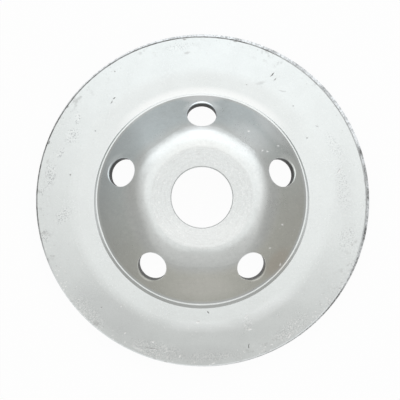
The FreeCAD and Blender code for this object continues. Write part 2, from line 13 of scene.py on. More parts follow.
import bmesh
import bpy
from mathutils import Matrix, Vector


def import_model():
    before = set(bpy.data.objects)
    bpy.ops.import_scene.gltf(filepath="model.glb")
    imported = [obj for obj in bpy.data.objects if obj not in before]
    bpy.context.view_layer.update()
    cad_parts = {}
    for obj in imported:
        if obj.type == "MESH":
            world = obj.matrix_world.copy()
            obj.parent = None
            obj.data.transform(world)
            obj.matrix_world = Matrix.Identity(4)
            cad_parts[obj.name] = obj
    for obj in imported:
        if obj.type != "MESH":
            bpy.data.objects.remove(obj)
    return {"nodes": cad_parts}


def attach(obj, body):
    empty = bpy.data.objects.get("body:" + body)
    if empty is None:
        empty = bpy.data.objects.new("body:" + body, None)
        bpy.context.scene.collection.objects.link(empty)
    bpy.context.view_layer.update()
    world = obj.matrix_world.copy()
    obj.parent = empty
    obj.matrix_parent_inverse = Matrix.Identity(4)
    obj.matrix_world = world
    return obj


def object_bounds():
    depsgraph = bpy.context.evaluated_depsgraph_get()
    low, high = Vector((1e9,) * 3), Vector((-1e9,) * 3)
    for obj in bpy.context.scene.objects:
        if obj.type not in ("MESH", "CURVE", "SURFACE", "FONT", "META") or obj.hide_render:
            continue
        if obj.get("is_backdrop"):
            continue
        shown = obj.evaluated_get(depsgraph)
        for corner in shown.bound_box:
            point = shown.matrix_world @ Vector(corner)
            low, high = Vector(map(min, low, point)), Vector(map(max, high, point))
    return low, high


LOG = logging.getLogger("grinding_disc")
MM = 0.001
PALEST = 0.97

Colour = tuple[float, float, float, float]


def grey(level: float, warmth: float = 0.0) -> Colour:
    """Gives a grey, drawn towards brown by a positive warmth and towards blue by a negative one.

    Args:
        level: how bright the grey is, from 0 to 1, in linear light.
        warmth: how much red is added and blue is taken away.

    Returns:
        The colour with full alpha.
    """
    return (level * (1 + warmth), level, level * (1 - warmth), 1.0)


class Signal:
    """A shader socket that takes part in Python's arithmetic by adding Math nodes."""

    def __init__(self, shader: "Shader", socket: bpy.types.NodeSocket) -> None:
        """Wraps one output socket of a shader's tree."""
        self.shader = shader
        self.socket = socket

    def _with(self, operation: str, *operands: "Signal | float") -> "Signal":
        """Runs a Math node on this socket and what comes after it."""
        return self.shader.math(operation, self, *operands)

    def __add__(self, other: "Signal | float") -> "Signal":
        """Adds."""
        return self._with("ADD", other)

    def __radd__(self, other: float) -> "Signal":
        """Adds to a number."""
        return self._with("ADD", other)

    def __sub__(self, other: "Signal | float") -> "Signal":
        """Subtracts."""
        return self._with("SUBTRACT", other)

    def __rsub__(self, other: float) -> "Signal":
        """Subtracts from a number."""
        return self.shader.math("SUBTRACT", other, self)

    def __mul__(self, other: "Signal | float") -> "Signal":
        """Multiplies."""
        return self._with("MULTIPLY", other)

    def __rmul__(self, other: float) -> "Signal":
        """Multiplies a number."""
        return self._with("MULTIPLY", other)

    def lesser(self, other: "Signal | float") -> "Signal":
        """The smaller of two values."""
        return self._with("MINIMUM", other)

    def greater(self, other: "Signal | float") -> "Signal":
        """The larger of two values."""
        return self._with("MAXIMUM", other)

    def rise(self, low: float, high: float) -> "Signal":
        """A smooth step.

        Args:
            low: the value at which the result is 0.
            high: the value at which the result is 1; it may be the smaller one.

        Returns:
            The step, between 0 and 1.
        """
        settings = {"interpolation_type": "SMOOTHSTEP"}
        values = {"Value": self, "From Min": low, "From Max": high}
        return self.shader.add("ShaderNodeMapRange", settings, values, "Result")


class Shader:
    """One material's node tree, with the few ways of adding nodes that the finishes use."""

    def __init__(self, name: str) -> None:
        """Makes an empty material.

        Args:
            name: the material's name.
        """
        self.material = bpy.data.materials.new(name)
        self.material.use_nodes = True
        self.tree = self.material.node_tree
        self.tree.nodes.clear()
        self.output = self.tree.nodes.new("ShaderNodeOutputMaterial")

    def node(self, kind: str, settings: dict, values: dict) -> bpy.types.Node:
        """Adds a node: its settings first, then its sockets.

        Args:
            kind: the node's type.
            settings: its properties.
            values: numbers, vectors, colours or signals by socket name or number.

        Returns:
            The node.
        """
        made = self.tree.nodes.new(kind)
        for name, setting in settings.items():
            setattr(made, name, setting)
        for name, value in values.items():
            socket = made.inputs[name]
            if isinstance(value, Signal):
                self.tree.links.new(value.socket, socket)
            else:
                socket.default_value = value
        return made

    def add(self, kind: str, settings: dict, values: dict, output: str | int = 0) -> Signal:
        """Adds a node and gives one of its outputs.

        Args:
            kind: the node's type.
            settings: its properties.
            values: what its sockets hold.
            output: the output's name or number.

        Returns:
            The output as a signal.
        """
        return Signal(self, self.node(kind, settings, values).outputs[output])

    def math(self, operation: str, *operands: Signal | float) -> Signal:
        """Adds a Math node on its operands in order."""
        return self.add("ShaderNodeMath", {"operation": operation}, dict(enumerate(operands)))

    def place(self) -> Signal:
        """The surface's own coordinates, in millimetres."""
        metres = self.add("ShaderNodeTexCoord", {}, {}, "Object")
        return self.add("ShaderNodeVectorMath", {"operation": "SCALE"}, {0: metres, "Scale": 1 / MM})

    def facing(self) -> Signal:
        """How far the surface faces up: 1 for level, 0 for upright and -1 for upside down."""
        return self.parts(self.add("ShaderNodeNewGeometry", {}, {}, "Normal"))[2]

    def parts(self, vector: Signal) -> tuple[Signal, Signal, Signal]:
        """Splits a vector.

        Args:
            vector: the vector.

        Returns:
            Its three parts.
        """
        made = self.node("ShaderNodeSeparateXYZ", {}, {0: vector})
        return tuple(Signal(self, made.outputs[axis]) for axis in range(3))

    def flat(self, x: Signal, y: Signal) -> Signal:
        """A vector with no height, from its first two parts."""
        return self.add("ShaderNodeCombineXYZ", {}, {0: x, 1: y})

    def tones(self, colour: Signal) -> tuple[Signal, Signal, Signal]:
        """Splits a colour into its red, green and blue."""
        made = self.node("ShaderNodeSeparateColor", {}, {0: colour})
        return tuple(Signal(self, made.outputs[part]) for part in range(3))

    def length(self, vector: Signal) -> Signal:
        """A vector's length."""
        return self.add("ShaderNodeVectorMath", {"operation": "LENGTH"}, {0: vector}, "Value")

    def dot(self, vector: Signal, axis: Vector) -> Signal:
        """How far a vector reaches along a fixed axis, times the axis's length."""
        values = {0: vector, 1: tuple(axis)}
        return self.add("ShaderNodeVectorMath", {"operation": "DOT_PRODUCT"}, values, "Value")

    def noise(self, where: Signal, per_mm: float, detail: float = 2.0, rough: float = 0.5) -> Signal:
        """Cloudy noise.

        Args:
            where: coordinates in millimetres.
            per_mm: how many clouds fit in a millimetre.
            detail: how many finer layers it has.
            rough: how strong the finer layers are.

        Returns:
            The noise, around 0.5.
        """
        values = {"Vector": where, "Scale": per_mm, "Detail": detail, "Roughness": rough}
        return self.add("ShaderNodeTexNoise", {}, values, 0)

    def line_noise(self, where: Signal, per_mm: float, detail: float = 2.0) -> Signal:
        """Noise along one number, for turned grooves."""
        values = {"W": where, "Scale": per_mm, "Detail": detail}
        return self.add("ShaderNodeTexNoise", {"noise_dimensions": "1D"}, values, 0)

    def cells(self, where: Signal, per_mm: float) -> tuple[Signal, tuple[Signal, Signal, Signal]]:
        """Scattered cells, such as grains.

        Args:
            where: coordinates in millimetres.
            per_mm: how many cells fit in a millimetre.

        Returns:
            The distance from the nearest cell's middle, and three random tones that each cell has of its own.
        """
        made = self.node("ShaderNodeTexVoronoi", {}, {"Vector": where, "Scale": per_mm})
        distance, colour = (Signal(self, made.outputs[name]) for name in ("Distance", "Color"))
        return distance, self.tones(colour)

    def blend(
        self, amount: Signal | float, first: Signal | Colour, second: Signal | Colour, how: str = "MIX",
    ) -> Signal:
        """Mixes two colours.

        Args:
            amount: how much of the second shows.
            first: the colour underneath.
            second: the colour laid over it.
            how: the blend's type.

        Returns:
            The mixed colour.
        """
        settings = {"data_type": "RGBA", "blend_type": how}
        # The node's sockets share names between kinds: its colours are inputs 6 and 7 and output 2.
        made = self.node("ShaderNodeMix", settings, {0: amount, 6: first, 7: second})
        return Signal(self, made.outputs[2])

    def bump(self, height: Signal, depth_mm: float, under: Signal | None = None) -> Signal:
        """Turns a height between 0 and 1 into a normal.

        Args:
            height: the height.
            depth_mm: what a height of 1 is, in millimetres.
            under: a normal that this one is laid over.

        Returns:
            The normal.
        """
        values = {"Height": height, "Strength": 1.0, "Distance": depth_mm * MM}
        if under is not None:
            values["Normal"] = under
        return self.add("ShaderNodeBump", {}, values, "Normal")

    def finish(self, values: dict) -> bpy.types.Material:
        """Closes the tree with a Principled shader.

        Args:
            values: what its sockets hold.

        Returns:
            The finished material.
        """
        surface = self.node("ShaderNodeBsdfPrincipled", {}, values)
        self.tree.links.new(surface.outputs["BSDF"], self.output.inputs["Surface"])
        return self.material


class Tone(Enum):
    """What a mark leaves on the paint, as a share of the paint's brightness."""

    DARK = 0.28
    SHADE = 0.62
    LIGHT = 1.25

    def over(self, level: float, warmth: float = 0.0) -> Colour:
        """The colour that it leaves.

        Args:
            level: how bright the paint is.
            warmth: how far the colour is drawn towards brown, or towards blue where it is negative.

        Returns:
            The colour.
        """
        return grey(min(level * self.value, PALEST), warmth)


@dataclass(frozen=True)
class Mark:
    """A scratch, speck, scuff or soft patch on the dish, seen from above; many soft patches are painted
    highlights and painted shade. Lengths in millimetres, the turn in degrees.
    """

    x: float
    y: float
    length: float
    width: float
    turn: float
    tone: Tone
    strength: float = 1.0
    warmth: float = -0.02

    def mask(self, shader: Shader, where: Signal) -> Signal:
        """How much of the mark lies at a point.

        Args:
            shader: the shader that takes the nodes.
            where: flat coordinates in millimetres. Wavy ones keep the mark from being a clean oval.

        Returns:
            1 in the mark's middle and 0 outside it.
        """
        turn = math.radians(self.turn)
        centre = Vector((self.x, self.y, 0.0))
        lengthwise = Vector((math.cos(turn), math.sin(turn), 0.0)) * 2 / self.length
        crosswise = Vector((-math.sin(turn), math.cos(turn), 0.0)) * 2 / self.width
        along, across = (shader.dot(where, axis) - axis.dot(centre) for axis in (lengthwise, crosswise))
        return shader.length(shader.flat(along, across)).rise(1.0, 0.35) * self.strength


def joined(marks: Sequence[Mark], shader: Shader, where: Signal) -> Signal:
    """The masks of several marks in one, which is the strongest of them at each point.

    Args:
        marks: the marks.
        shader: the shader that takes the nodes.
        where: flat coordinates in millimetres.

    Returns:
        The joined mask, between 0 and 1.
    """
    return reduce(Signal.greater, (mark.mask(shader, where) for mark in marks))


@dataclass(frozen=True)
class HolePattern:
    """Where the holes go through the cone. Millimetres and degrees."""

    count: int = 5
    distance: float = 31.10
    height: float = 12.50
    slope: float = 30.81
    wall_radius: float = 5.4

    def reach(self, shader: Shader, where: Signal) -> tuple[Signal, Signal]:
        """The distance from the nearest hole's axis, and how far down the slope that is.

        Args:
            shader: the shader that takes the nodes.
            where: coordinates in millimetres.

        Returns:
            The distance and its part down the slope, in millimetres.
        """
        x, y, z = shader.parts(where)
        radius = shader.length(shader.flat(x, y))
        step = 2 * math.pi / self.count
        bearing = shader.math("ARCTAN2", x, y)
        off = shader.math("WRAP", bearing, step / 2, -step / 2)
        along = radius * shader.math("COSINE", off) - self.distance
        across = radius * shader.math("SINE", off)
        lean = math.radians(self.slope)
        downhill = along * math.cos(lean) - (z - self.height) * math.sin(lean)
        return shader.length(shader.flat(downhill, across)), downhill


@dataclass(frozen=True)
class DishRegions:
    """Where the dish's regions begin and end. Millimetres."""

    hub_radius: float = 17.6
    hub_height: float = 16.6
    shoulder_radius: float = 20.0
    cone_height: float = 8.0
    cone_top_radius: float = 25.0
    cone_foot_radius: float = 38.5
    crease_radius: float = 38.7
    rim_radius: float = 61.2
    rim_wear: float = 7.0


class DishSurface:
    """The dish as its paint sees it: coordinates in millimetres, regions from 0 to 1 and cloudy noises."""

    def __init__(self, shader: Shader, regions: DishRegions, holes: HolePattern) -> None:
        """Adds the nodes that several layers of the paint share.

        Args:
            shader: the shader that takes the nodes.
            regions: where the dish's regions begin and end.
            holes: where the holes are.
        """
        self.shader = shader
        self.regions = regions
        self.where = shader.place()
        self.x, self.y, self.z = shader.parts(self.where)
        self.flat = shader.flat(self.x, self.y)
        self.radius = shader.length(self.flat)
        facing = shader.facing()
        self.above = facing.rise(0.1, 0.4)
        self.beneath = facing.rise(-0.2, -0.6)
        within_hub = self.radius.rise(regions.hub_radius + 1.7, regions.hub_radius + 0.5)
        self.on_hub = within_hub * self.z.rise(regions.hub_height, regions.hub_height + 0.3)
        self.on_cone = self.z.rise(regions.cone_height, regions.cone_height + 0.6) * (1.0 - self.on_hub)
        self.at_rim = self.radius.rise(regions.rim_radius - regions.rim_wear, regions.rim_radius)
        self.high_side = self.y.rise(6.0, 26.0)
        self.reach, self.downhill = holes.reach(shader, self.where)
        self.hole_wall = self.reach.rise(holes.wall_radius + 0.12, holes.wall_radius + 0.04)

        self.clouds = shader.noise(self.where, 0.09, 3.0, 0.55)
        self.blots = shader.noise(self.where, 0.42, 4.0, 0.62)
        self.grain = shader.noise(self.where, 2.2, 3.0, 0.62)
        self.speckle = shader.noise(self.where, 1.9, 2.0, 0.6)
        self.grooves = shader.line_noise(self.radius, 3.2, 3.0)
        self.worn = self.blots.rise(0.55, 0.68) * self.at_rim * self.clouds.rise(0.42, 0.56)


@dataclass(frozen=True)
class SilverPaint:
    """Satin silver paint over pressed steel, with painted highlights and painted shade in its colour.

    Marks are single scratches and specks; the light ones on the cone are painted glints. Patches are soft
    areas of another tone: a darker brownish one by the lower right hole, the others painted highlights and
    painted shade. Scuffs are patches of fine speckle. The casts are painted reflection tints on the cone's
    paint, cooler above and warmer below.
    """

    name: str = "silver_paint"
    silver: tuple[float, float, float] = (0.768, 0.800, 0.803)
    bright: Colour = grey(PALEST)
    cool_reflection_tint: Colour = (0.95, 1.0, 1.03, 1.0)
    warm_reflection_tint: Colour = (1.01, 0.985, 0.92, 1.0)
    roughness: float = 0.31
    regions: DishRegions = field(default_factory=DishRegions)
    holes: HolePattern = field(default_factory=HolePattern)
    marks: tuple[Mark, ...] = (
        Mark(-33.6, 36.4, 1.8, 0.42, 66.0, Tone.DARK),
        Mark(-32.7, 37.9, 1.7, 0.42, 38.0, Tone.DARK, 0.9),
        Mark(26.5, 47.0, 3.0, 0.42, 48.0, Tone.DARK),
        Mark(27.5, 45.1, 2.3, 0.42, 52.0, Tone.SHADE, 0.9),
        Mark(22.0, 43.6, 5.0, 1.6, 15.0, Tone.SHADE, 0.30),
        Mark(30.2, 40.6, 4.0, 0.8, -12.0, Tone.SHADE, 0.35),
        Mark(16.8, 43.0, 0.8, 0.6, 0.0, Tone.SHADE),
        Mark(34.2, 35.0, 0.9, 0.5, 20.0, Tone.SHADE, 0.8),
        Mark(39.3, 22.9, 0.8, 0.6, 0.0, Tone.DARK, 0.8),
        Mark(43.0, 27.3, 1.8, 0.5, -20.0, Tone.SHADE, 0.7),
        Mark(51.4, 10.6, 3.2, 0.7, 50.0, Tone.LIGHT),
        Mark(-57.0, 21.2, 2.2, 0.6, 70.0, Tone.DARK, 0.8),
        Mark(-50.2, 34.6, 1.6, 0.6, 55.0, Tone.DARK, 0.7),
        Mark(-32.6, 48.1, 0.8, 0.6, 0.0, Tone.SHADE),
        Mark(-45.3, 45.0, 1.5, 0.9, 60.0, Tone.SHADE, 0.8),
        Mark(-39.6, 25.5, 0.8, 0.6, 0.0, Tone.DARK),
        Mark(-48.9, 9.2, 0.9, 0.6, 60.0, Tone.SHADE),
        Mark(2.4, -41.9, 1.2, 0.55, -45.0, Tone.DARK),
        Mark(17.4, -54.2, 2.5, 0.48, 78.0, Tone.DARK, 0.9),
        Mark(-37.1, -40.1, 1.0, 0.6, 20.0, Tone.SHADE),
        Mark(17.8, -48.0, 1.9, 0.9, 20.0, Tone.LIGHT),
        Mark(16.4, -43.2, 2.4, 0.7, 35.0, Tone.LIGHT, 0.8),
        Mark(-5.5, 55.1, 3.0, 1.2, 10.0, Tone.SHADE, 0.45),
        Mark(-6.4, 60.3, 1.8, 0.7, 6.0, Tone.SHADE),
        Mark(12.6, 59.6, 2.4, 0.6, -12.0, Tone.DARK, 0.6),
        Mark(-18.2, -55.2, 8.0, 0.6, -8.0, Tone.SHADE, 0.8),
        Mark(-23.5, -55.0, 6.0, 1.0, -22.0, Tone.LIGHT, 0.35),
        Mark(4.4, -60.5, 1.8, 0.8, 20.0, Tone.LIGHT),
        Mark(32.6, -50.2, 2.2, 0.8, 60.0, Tone.LIGHT),
        Mark(25.9, -53.5, 1.1, 0.8, 0.0, Tone.LIGHT),
        Mark(-1.4, -45.4, 1.6, 1.0, 0.0, Tone.LIGHT, 0.9),
        Mark(-8.1, -57.9, 1.5, 1.0, 60.0, Tone.LIGHT),
        Mark(-17.9, -52.6, 1.2, 0.8, 0.0, Tone.LIGHT, 0.9),
        Mark(-28.2, -49.4, 1.2, 0.8, 40.0, Tone.LIGHT, 0.9),
        Mark(-29.6, -39.6, 1.0, 0.8, 0.0, Tone.LIGHT, 0.8),
        # The light marks from here on sit on the cone and are painted glints.
        Mark(17.2, 24.7, 1.2, 0.7, 0.0, Tone.LIGHT),
        Mark(22.2, 17.4, 1.1, 0.8, 40.0, Tone.LIGHT),
        Mark(24.0, 17.2, 1.0, 0.7, 0.0, Tone.LIGHT, 0.9),
        Mark(28.2, 19.6, 1.0, 0.7, 0.0, Tone.LIGHT, 0.9),
        Mark(29.5, -9.7, 1.0, 0.7, 0.0, Tone.LIGHT),
        Mark(24.9, -18.2, 1.5, 0.7, 30.0, Tone.LIGHT),
        Mark(28.9, -24.2, 1.6, 0.7, 70.0, Tone.LIGHT),
    )
    # A darker brownish patch by the lower right hole, then painted highlights and painted shade over regions
    # of the dish.
    patches_and_painted_light: tuple[Mark, ...] = (
        Mark(27.9, -23.4, 17.0, 9.0, 50.0, Tone.SHADE, 0.30, 0.22),
        Mark(18.5, 22.0, 24.0, 12.0, 141.0, Tone.LIGHT, 0.40),
        Mark(26.2, 25.4, 24.0, 7.0, 135.0, Tone.LIGHT, 0.38),
        Mark(0.0, 37.5, 20.0, 4.4, 0.0, Tone.LIGHT, 0.85),
        Mark(0.0, 25.2, 19.0, 5.5, 0.0, Tone.LIGHT, 0.75),
        Mark(0.0, -32.5, 30.0, 11.0, 0.0, Tone.LIGHT, 0.22, 0.02),
        Mark(25.0, -40.0, 34.0, 7.0, 32.0, Tone.LIGHT, 0.22),
        Mark(2.0, -47.0, 36.0, 6.0, 0.0, Tone.LIGHT, 0.22),
        Mark(-32.0, -43.0, 46.0, 16.0, -37.0, Tone.SHADE, 0.20),
        Mark(0.0, -57.0, 40.0, 9.0, 0.0, Tone.SHADE, 0.14),
        Mark(53.5, 4.0, 46.0, 10.0, 92.0, Tone.SHADE, 0.10),
    )
    scuffs: tuple[Mark, ...] = (
        Mark(-46.3, 30.5, 7.0, 3.0, 80.0, Tone.SHADE),
        Mark(-48.3, 23.6, 9.0, 7.0, 60.0, Tone.SHADE, 0.9),
        Mark(-52.7, 17.4, 6.0, 4.0, 60.0, Tone.SHADE, 0.8),
        Mark(-56.4, 9.0, 13.0, 6.0, 80.0, Tone.SHADE),
        Mark(-59.3, 2.8, 4.0, 2.0, 90.0, Tone.SHADE),
        Mark(-51.5, -6.2, 10.0, 6.0, 40.0, Tone.SHADE, 0.9),
        Mark(-58.0, -13.7, 7.0, 4.0, 100.0, Tone.SHADE, 0.9),
        Mark(49.5, 20.0, 16.0, 6.0, 118.0, Tone.SHADE, 0.5),
        Mark(52.5, 4.0, 22.0, 7.0, 96.0, Tone.SHADE, 0.6),
        Mark(54.0, -14.5, 14.0, 9.0, 75.0, Tone.SHADE, 0.5),
        Mark(16.9, -45.6, 8.0, 5.0, 80.0, Tone.SHADE, 0.9),
        Mark(33.0, -47.5, 22.0, 7.0, 36.0, Tone.SHADE, 0.9),
        Mark(-16.0, -55.5, 28.0, 8.0, -14.0, Tone.SHADE, 0.9),
        Mark(-42.0, -41.5, 22.0, 9.0, -44.0, Tone.SHADE, 0.8),
        Mark(4.0, -58.0, 26.0, 5.0, 3.0, Tone.SHADE, 0.8),
        Mark(-9.0, 57.5, 14.0, 4.0, 9.0, Tone.SHADE, 0.6),
    )

    def spray_and_painted_light(self, dish: DishSurface) -> Signal:
        """The paint's own colour, with painted highlights outside the crease and on the shoulder, and painted
        shade on the inner flange.

        Args:
            dish: the surface under it.

        Returns:
            The colour.
        """
        shader, radius, y, regions = dish.shader, dish.radius, dish.y, dish.regions
        flakes = shader.cells(dish.where, 2.1)[1][0]
        beyond_crease = radius.rise(regions.crease_radius, regions.crease_radius + 0.5)
        crease_highlight = beyond_crease * radius.rise(43.2, 40.6) * y.rise(22.0, 37.0)
        inner_flange_shade = radius.rise(40.2, 40.6) * radius.rise(50.0, 46.0)
        inner_flange_shade = inner_flange_shade * y.rise(-24.0, -8.0) * dish.x.rise(48.0, 20.0)
        shoulder = regions.shoulder_radius
        bend_highlight = radius.rise(shoulder, shoulder + 2.0) * dish.z.rise(13.0, 14.0) * (1.0 - dish.high_side)
        crown_highlight = radius.rise(shoulder - 3.0, shoulder - 1.0) * radius.rise(shoulder + 6.0, shoulder + 3.0)

        deep, pale = (tuple(part * share for part in self.silver) + (1.0,) for share in (0.965, 1.015))
        paint = shader.blend(dish.clouds.rise(0.3, 0.7), deep, pale)
        paint = shader.blend(dish.grain.rise(0.35, 0.68) * (0.08 + dish.on_hub * 0.12), paint, grey(0.50))
        paint = shader.blend(flakes.rise(0.82, 0.96) * (0.08 + dish.on_hub * 0.24), paint, self.bright)
        # Painted shade darkens the inner flange except at the bottom and on the right. Painted highlights
        # light the flange just outside the crease on the upper side, the shoulder's curve below its top and,
        # warm, the shoulder on the upper side.
        paint = shader.blend(inner_flange_shade * 0.10, paint, grey(0.50))
        paint = shader.blend(crease_highlight * 0.45, paint, self.bright)
        paint = shader.blend(bend_highlight * 0.12, paint, self.bright)
        return shader.blend(crown_highlight * dish.high_side * 0.22, paint, grey(PALEST, 0.05))

    def hub_turning_and_shade(self, dish: DishSurface, paint: Signal) -> Signal:
        """Lays the turned marks over the hub, with painted shade on its upper side and a painted highlight on
        its lower side.

        Args:
            dish: the surface under it.
            paint: the colour so far.

        Returns:
            The colour.
        """
        shader, on_hub, y = dish.shader, dish.on_hub, dish.y
        sweep = shader.flat(dish.radius, shader.math("ARCTAN2", dish.x, y) * 5.0)
        strokes = shader.noise(sweep, 1.3, 3.0, 0.6).rise(0.46, 0.66)
        paint = shader.blend(strokes * on_hub * (0.20 + dish.high_side * 0.12), paint, grey(0.52))
        paint = shader.blend(dish.grooves.rise(0.45, 0.7) * on_hub * 0.10, paint, grey(0.55))
        # Painted shade on the hub's upper side and a painted highlight on its lower side.
        paint = shader.blend(on_hub * y.rise(-14.0, 10.0) * 0.14, paint, grey(0.50))
        return shader.blend(on_hub * y.rise(-2.0, -14.0) * 0.25, paint, self.bright)

    def cone_shade_and_tints(self, dish: DishSurface, paint: Signal) -> Signal:
        """Paints shade on the cone towards its foot, painted highlights on the upper holes' lips and painted
        reflection tints.

        Args:
            dish: the surface under it.
            paint: the colour so far.

        Returns:
            The colour.
        """
        shader, on_cone, x, y = dish.shader, dish.on_cone, dish.x, dish.y
        mottle = shader.noise(dish.where, 0.75, 4.0, 0.66)
        foot_shade = dish.radius.rise(dish.regions.cone_top_radius, dish.regions.cone_foot_radius) * on_cone
        lip_highlight = dish.reach.rise(8.2, 6.3) * dish.downhill.rise(0.5, 4.5) * on_cone * dish.high_side
        paint = shader.blend(mottle.rise(0.50, 0.68) * on_cone * 0.16, paint, grey(0.52, -0.02))
        paint = shader.blend(mottle.rise(0.44, 0.34) * on_cone * 0.22, paint, grey(PALEST, -0.01))
        # Painted shade towards the cone's foot: weaker at the top and bottom, stronger on the left, and none
        # under the lips' highlights.
        foot_shade_by_side = 0.34 - y.rise(28.0, 36.0) * 0.2 - y.rise(-26.0, -36.0) * 0.16 + x.rise(-28.0, -38.0) * 0.14
        paint = shader.blend(foot_shade * (1.0 - lip_highlight) * foot_shade_by_side, paint, grey(0.55, -0.01))
        # Painted highlight on the lips of the upper holes.
        paint = shader.blend(lip_highlight * 0.75, paint, self.bright)
        # Painted reflection tints on the cone: cooler towards the upper left, warmer towards the lower right.
        upper_tint_share = (y * 0.94 - x * 0.34).rise(-30.0, 30.0)
        reflection_tinted = shader.blend(1.0, paint, shader.blend(upper_tint_share, self.warm_reflection_tint, self.cool_reflection_tint), "MULTIPLY")
        return shader.blend(on_cone * dish.z.rise(15.6, 12.8), paint, reflection_tinted)

    def weathered_and_shaded(self, dish: DishSurface, paint: Signal) -> Signal:
        """Lays flecks, painted glints and wear over the paint, and paints shade on the underside, along the
        rim's edge and on the holes' walls.

        Args:
            dish: the surface under it.
            paint: the colour so far.

        Returns:
            The colour.
        """
        shader, x, y, regions = dish.shader, dish.x, dish.y, dish.regions
        fleck, fleck_tones = shader.cells(dish.where, 0.85)
        flecks = fleck.rise(0.30, 0.12) * fleck_tones[1].rise(0.80, 0.88)
        # Painted glints: bright specks, most along the lower rim and on the right of the cone.
        glint, glint_tones = shader.cells(dish.where, 0.95)
        glints = glint.rise(0.36, 0.18) * glint_tones[2].rise(0.72, 0.80) * dish.speckle.rise(0.42, 0.52)
        lower_rim = y.rise(0.0, -36.0) * dish.radius.rise(42.0, 57.0)
        strewn = dish.on_cone * x.rise(4.0, 18.0) * y.rise(34.0, 26.0)
        glints = glints * (0.15 + lower_rim * 0.85 + strewn * 0.30)
        paint = shader.blend(flecks * ((1.0 - dish.on_cone) * 0.10 + dish.at_rim * 0.24), paint, grey(0.40))
        paint = shader.blend(glints * 0.85, paint, self.bright)
        paint = shader.blend(dish.worn * 0.45, paint, grey(0.42, 0.01))
        # Painted shade on the underside, blotchy.
        shaded = dish.beneath * (0.25 + dish.blots.rise(0.4, 0.65) * 0.35)
        paint = shader.blend(shaded, paint, grey(0.34, 0.03))
        # Painted shade along the rim's edge, on the upper half and the left, weaker on the right, none at the
        # bottom.
        rim_edge = dish.radius.rise(regions.rim_radius - 0.2, regions.rim_radius)
        rim_shade_side = y.rise(-34.0, -6.0) * (1.0 - x.rise(12.0, 40.0) * 0.45)
        rim_edge_shade = rim_edge * rim_shade_side * (0.7 + dish.blots.rise(0.42, 0.6) * 0.3)
        paint = shader.blend(rim_edge_shade, paint, grey(0.10, 0.02))
        # Painted shade on the holes' walls, lighter in the lower holes.
        wall_shade = shader.blend(y.rise(4.0, -22.0), grey(0.045, 0.02), grey(0.15, 0.01))
        return shader.blend(dish.hole_wall * 0.95, paint, wall_shade)

    def handled(self, dish: DishSurface, paint: Signal) -> tuple[Signal, Signal]:
        """Leaves the scuffs and marks of handling, a darker brownish patch, and patches of painted highlight
        and painted shade.

        Args:
            dish: the surface under it.
            paint: the colour so far.

        Returns:
            The colour, and how much of a mark lies at a point.
        """
        shader = dish.shader
        sway = {"Vector": dish.where, "Scale": 1.3, "Detail": 2.0}
        sideways, upward, _ = shader.tones(shader.add("ShaderNodeTexNoise", {}, sway, "Color"))
        wavy = shader.flat(dish.x + (sideways - 0.5) * 0.7, dish.y + (upward - 0.5) * 0.7)
        scuffed = joined(self.scuffs, shader, dish.flat) * dish.above
        low = dish.y.rise(-22.0, -42.0)
        dark = scuffed * dish.speckle.rise(0.54, 0.61) * (0.62 - low * 0.34)
        light = scuffed * dish.speckle.rise(0.45, 0.37) * (0.40 + low * 0.45)
        paint = shader.blend(dark, paint, grey(0.34, -0.04))
        paint = shader.blend(light, paint, self.bright)
        level = self.silver[1]
        # Soft patches: one darker brownish patch, the others painted highlights and painted shade.
        for patch in self.patches_and_painted_light:
            paint = shader.blend(patch.mask(shader, dish.flat), paint, patch.tone.over(level, patch.warmth))
        # Scratches and specks by tone; the light marks on the cone are painted glints.
        scratches = []
        for tone in Tone:
            alike = [mark for mark in self.marks if mark.tone is tone]
            scratches.append(joined(alike, shader, wavy) * dish.above)
            paint = shader.blend(scratches[-1], paint, tone.over(level))
        return paint, reduce(Signal.__add__, scratches)

    def build(self) -> bpy.types.Material:
        """Mixes the paint, layer by layer.

        Returns:
            The material.
        """
        shader = Shader(self.name)
        dish = DishSurface(shader, self.regions, self.holes)
        paint = self.spray_and_painted_light(dish)
        for layer in (self.hub_turning_and_shade, self.cone_shade_and_tints, self.weathered_and_shaded):
            paint = layer(dish, paint)
        paint, scratches = self.handled(dish, paint)

        satin = self.roughness + (dish.clouds - 0.5) * 0.10 + (dish.grain - 0.5) * 0.16
        satin = satin + dish.worn * 0.14 + scratches * 0.2 + dish.beneath * 0.12 + dish.hole_wall * 0.25
        scored = scratches.lesser(1.0)
        normal = shader.bump(dish.grain * 0.35 + shader.noise(dish.where, 0.9, 2.0) * 0.6, 0.020)
        normal = shader.bump(dish.grooves * dish.on_hub, 0.022, normal)
        normal = shader.bump(1.0 - scored, 0.05, normal)
        return shader.finish({
            "Base Color": paint,
            "Metallic": 0.94 - scored * 0.35 - dish.beneath * 0.25 - dish.hole_wall * 0.8,
            "Roughness": satin,
            "Normal": normal,
            "IOR": 1.5,
            "Coat Weight": 0.06,
            "Coat Roughness": 0.25,
        })


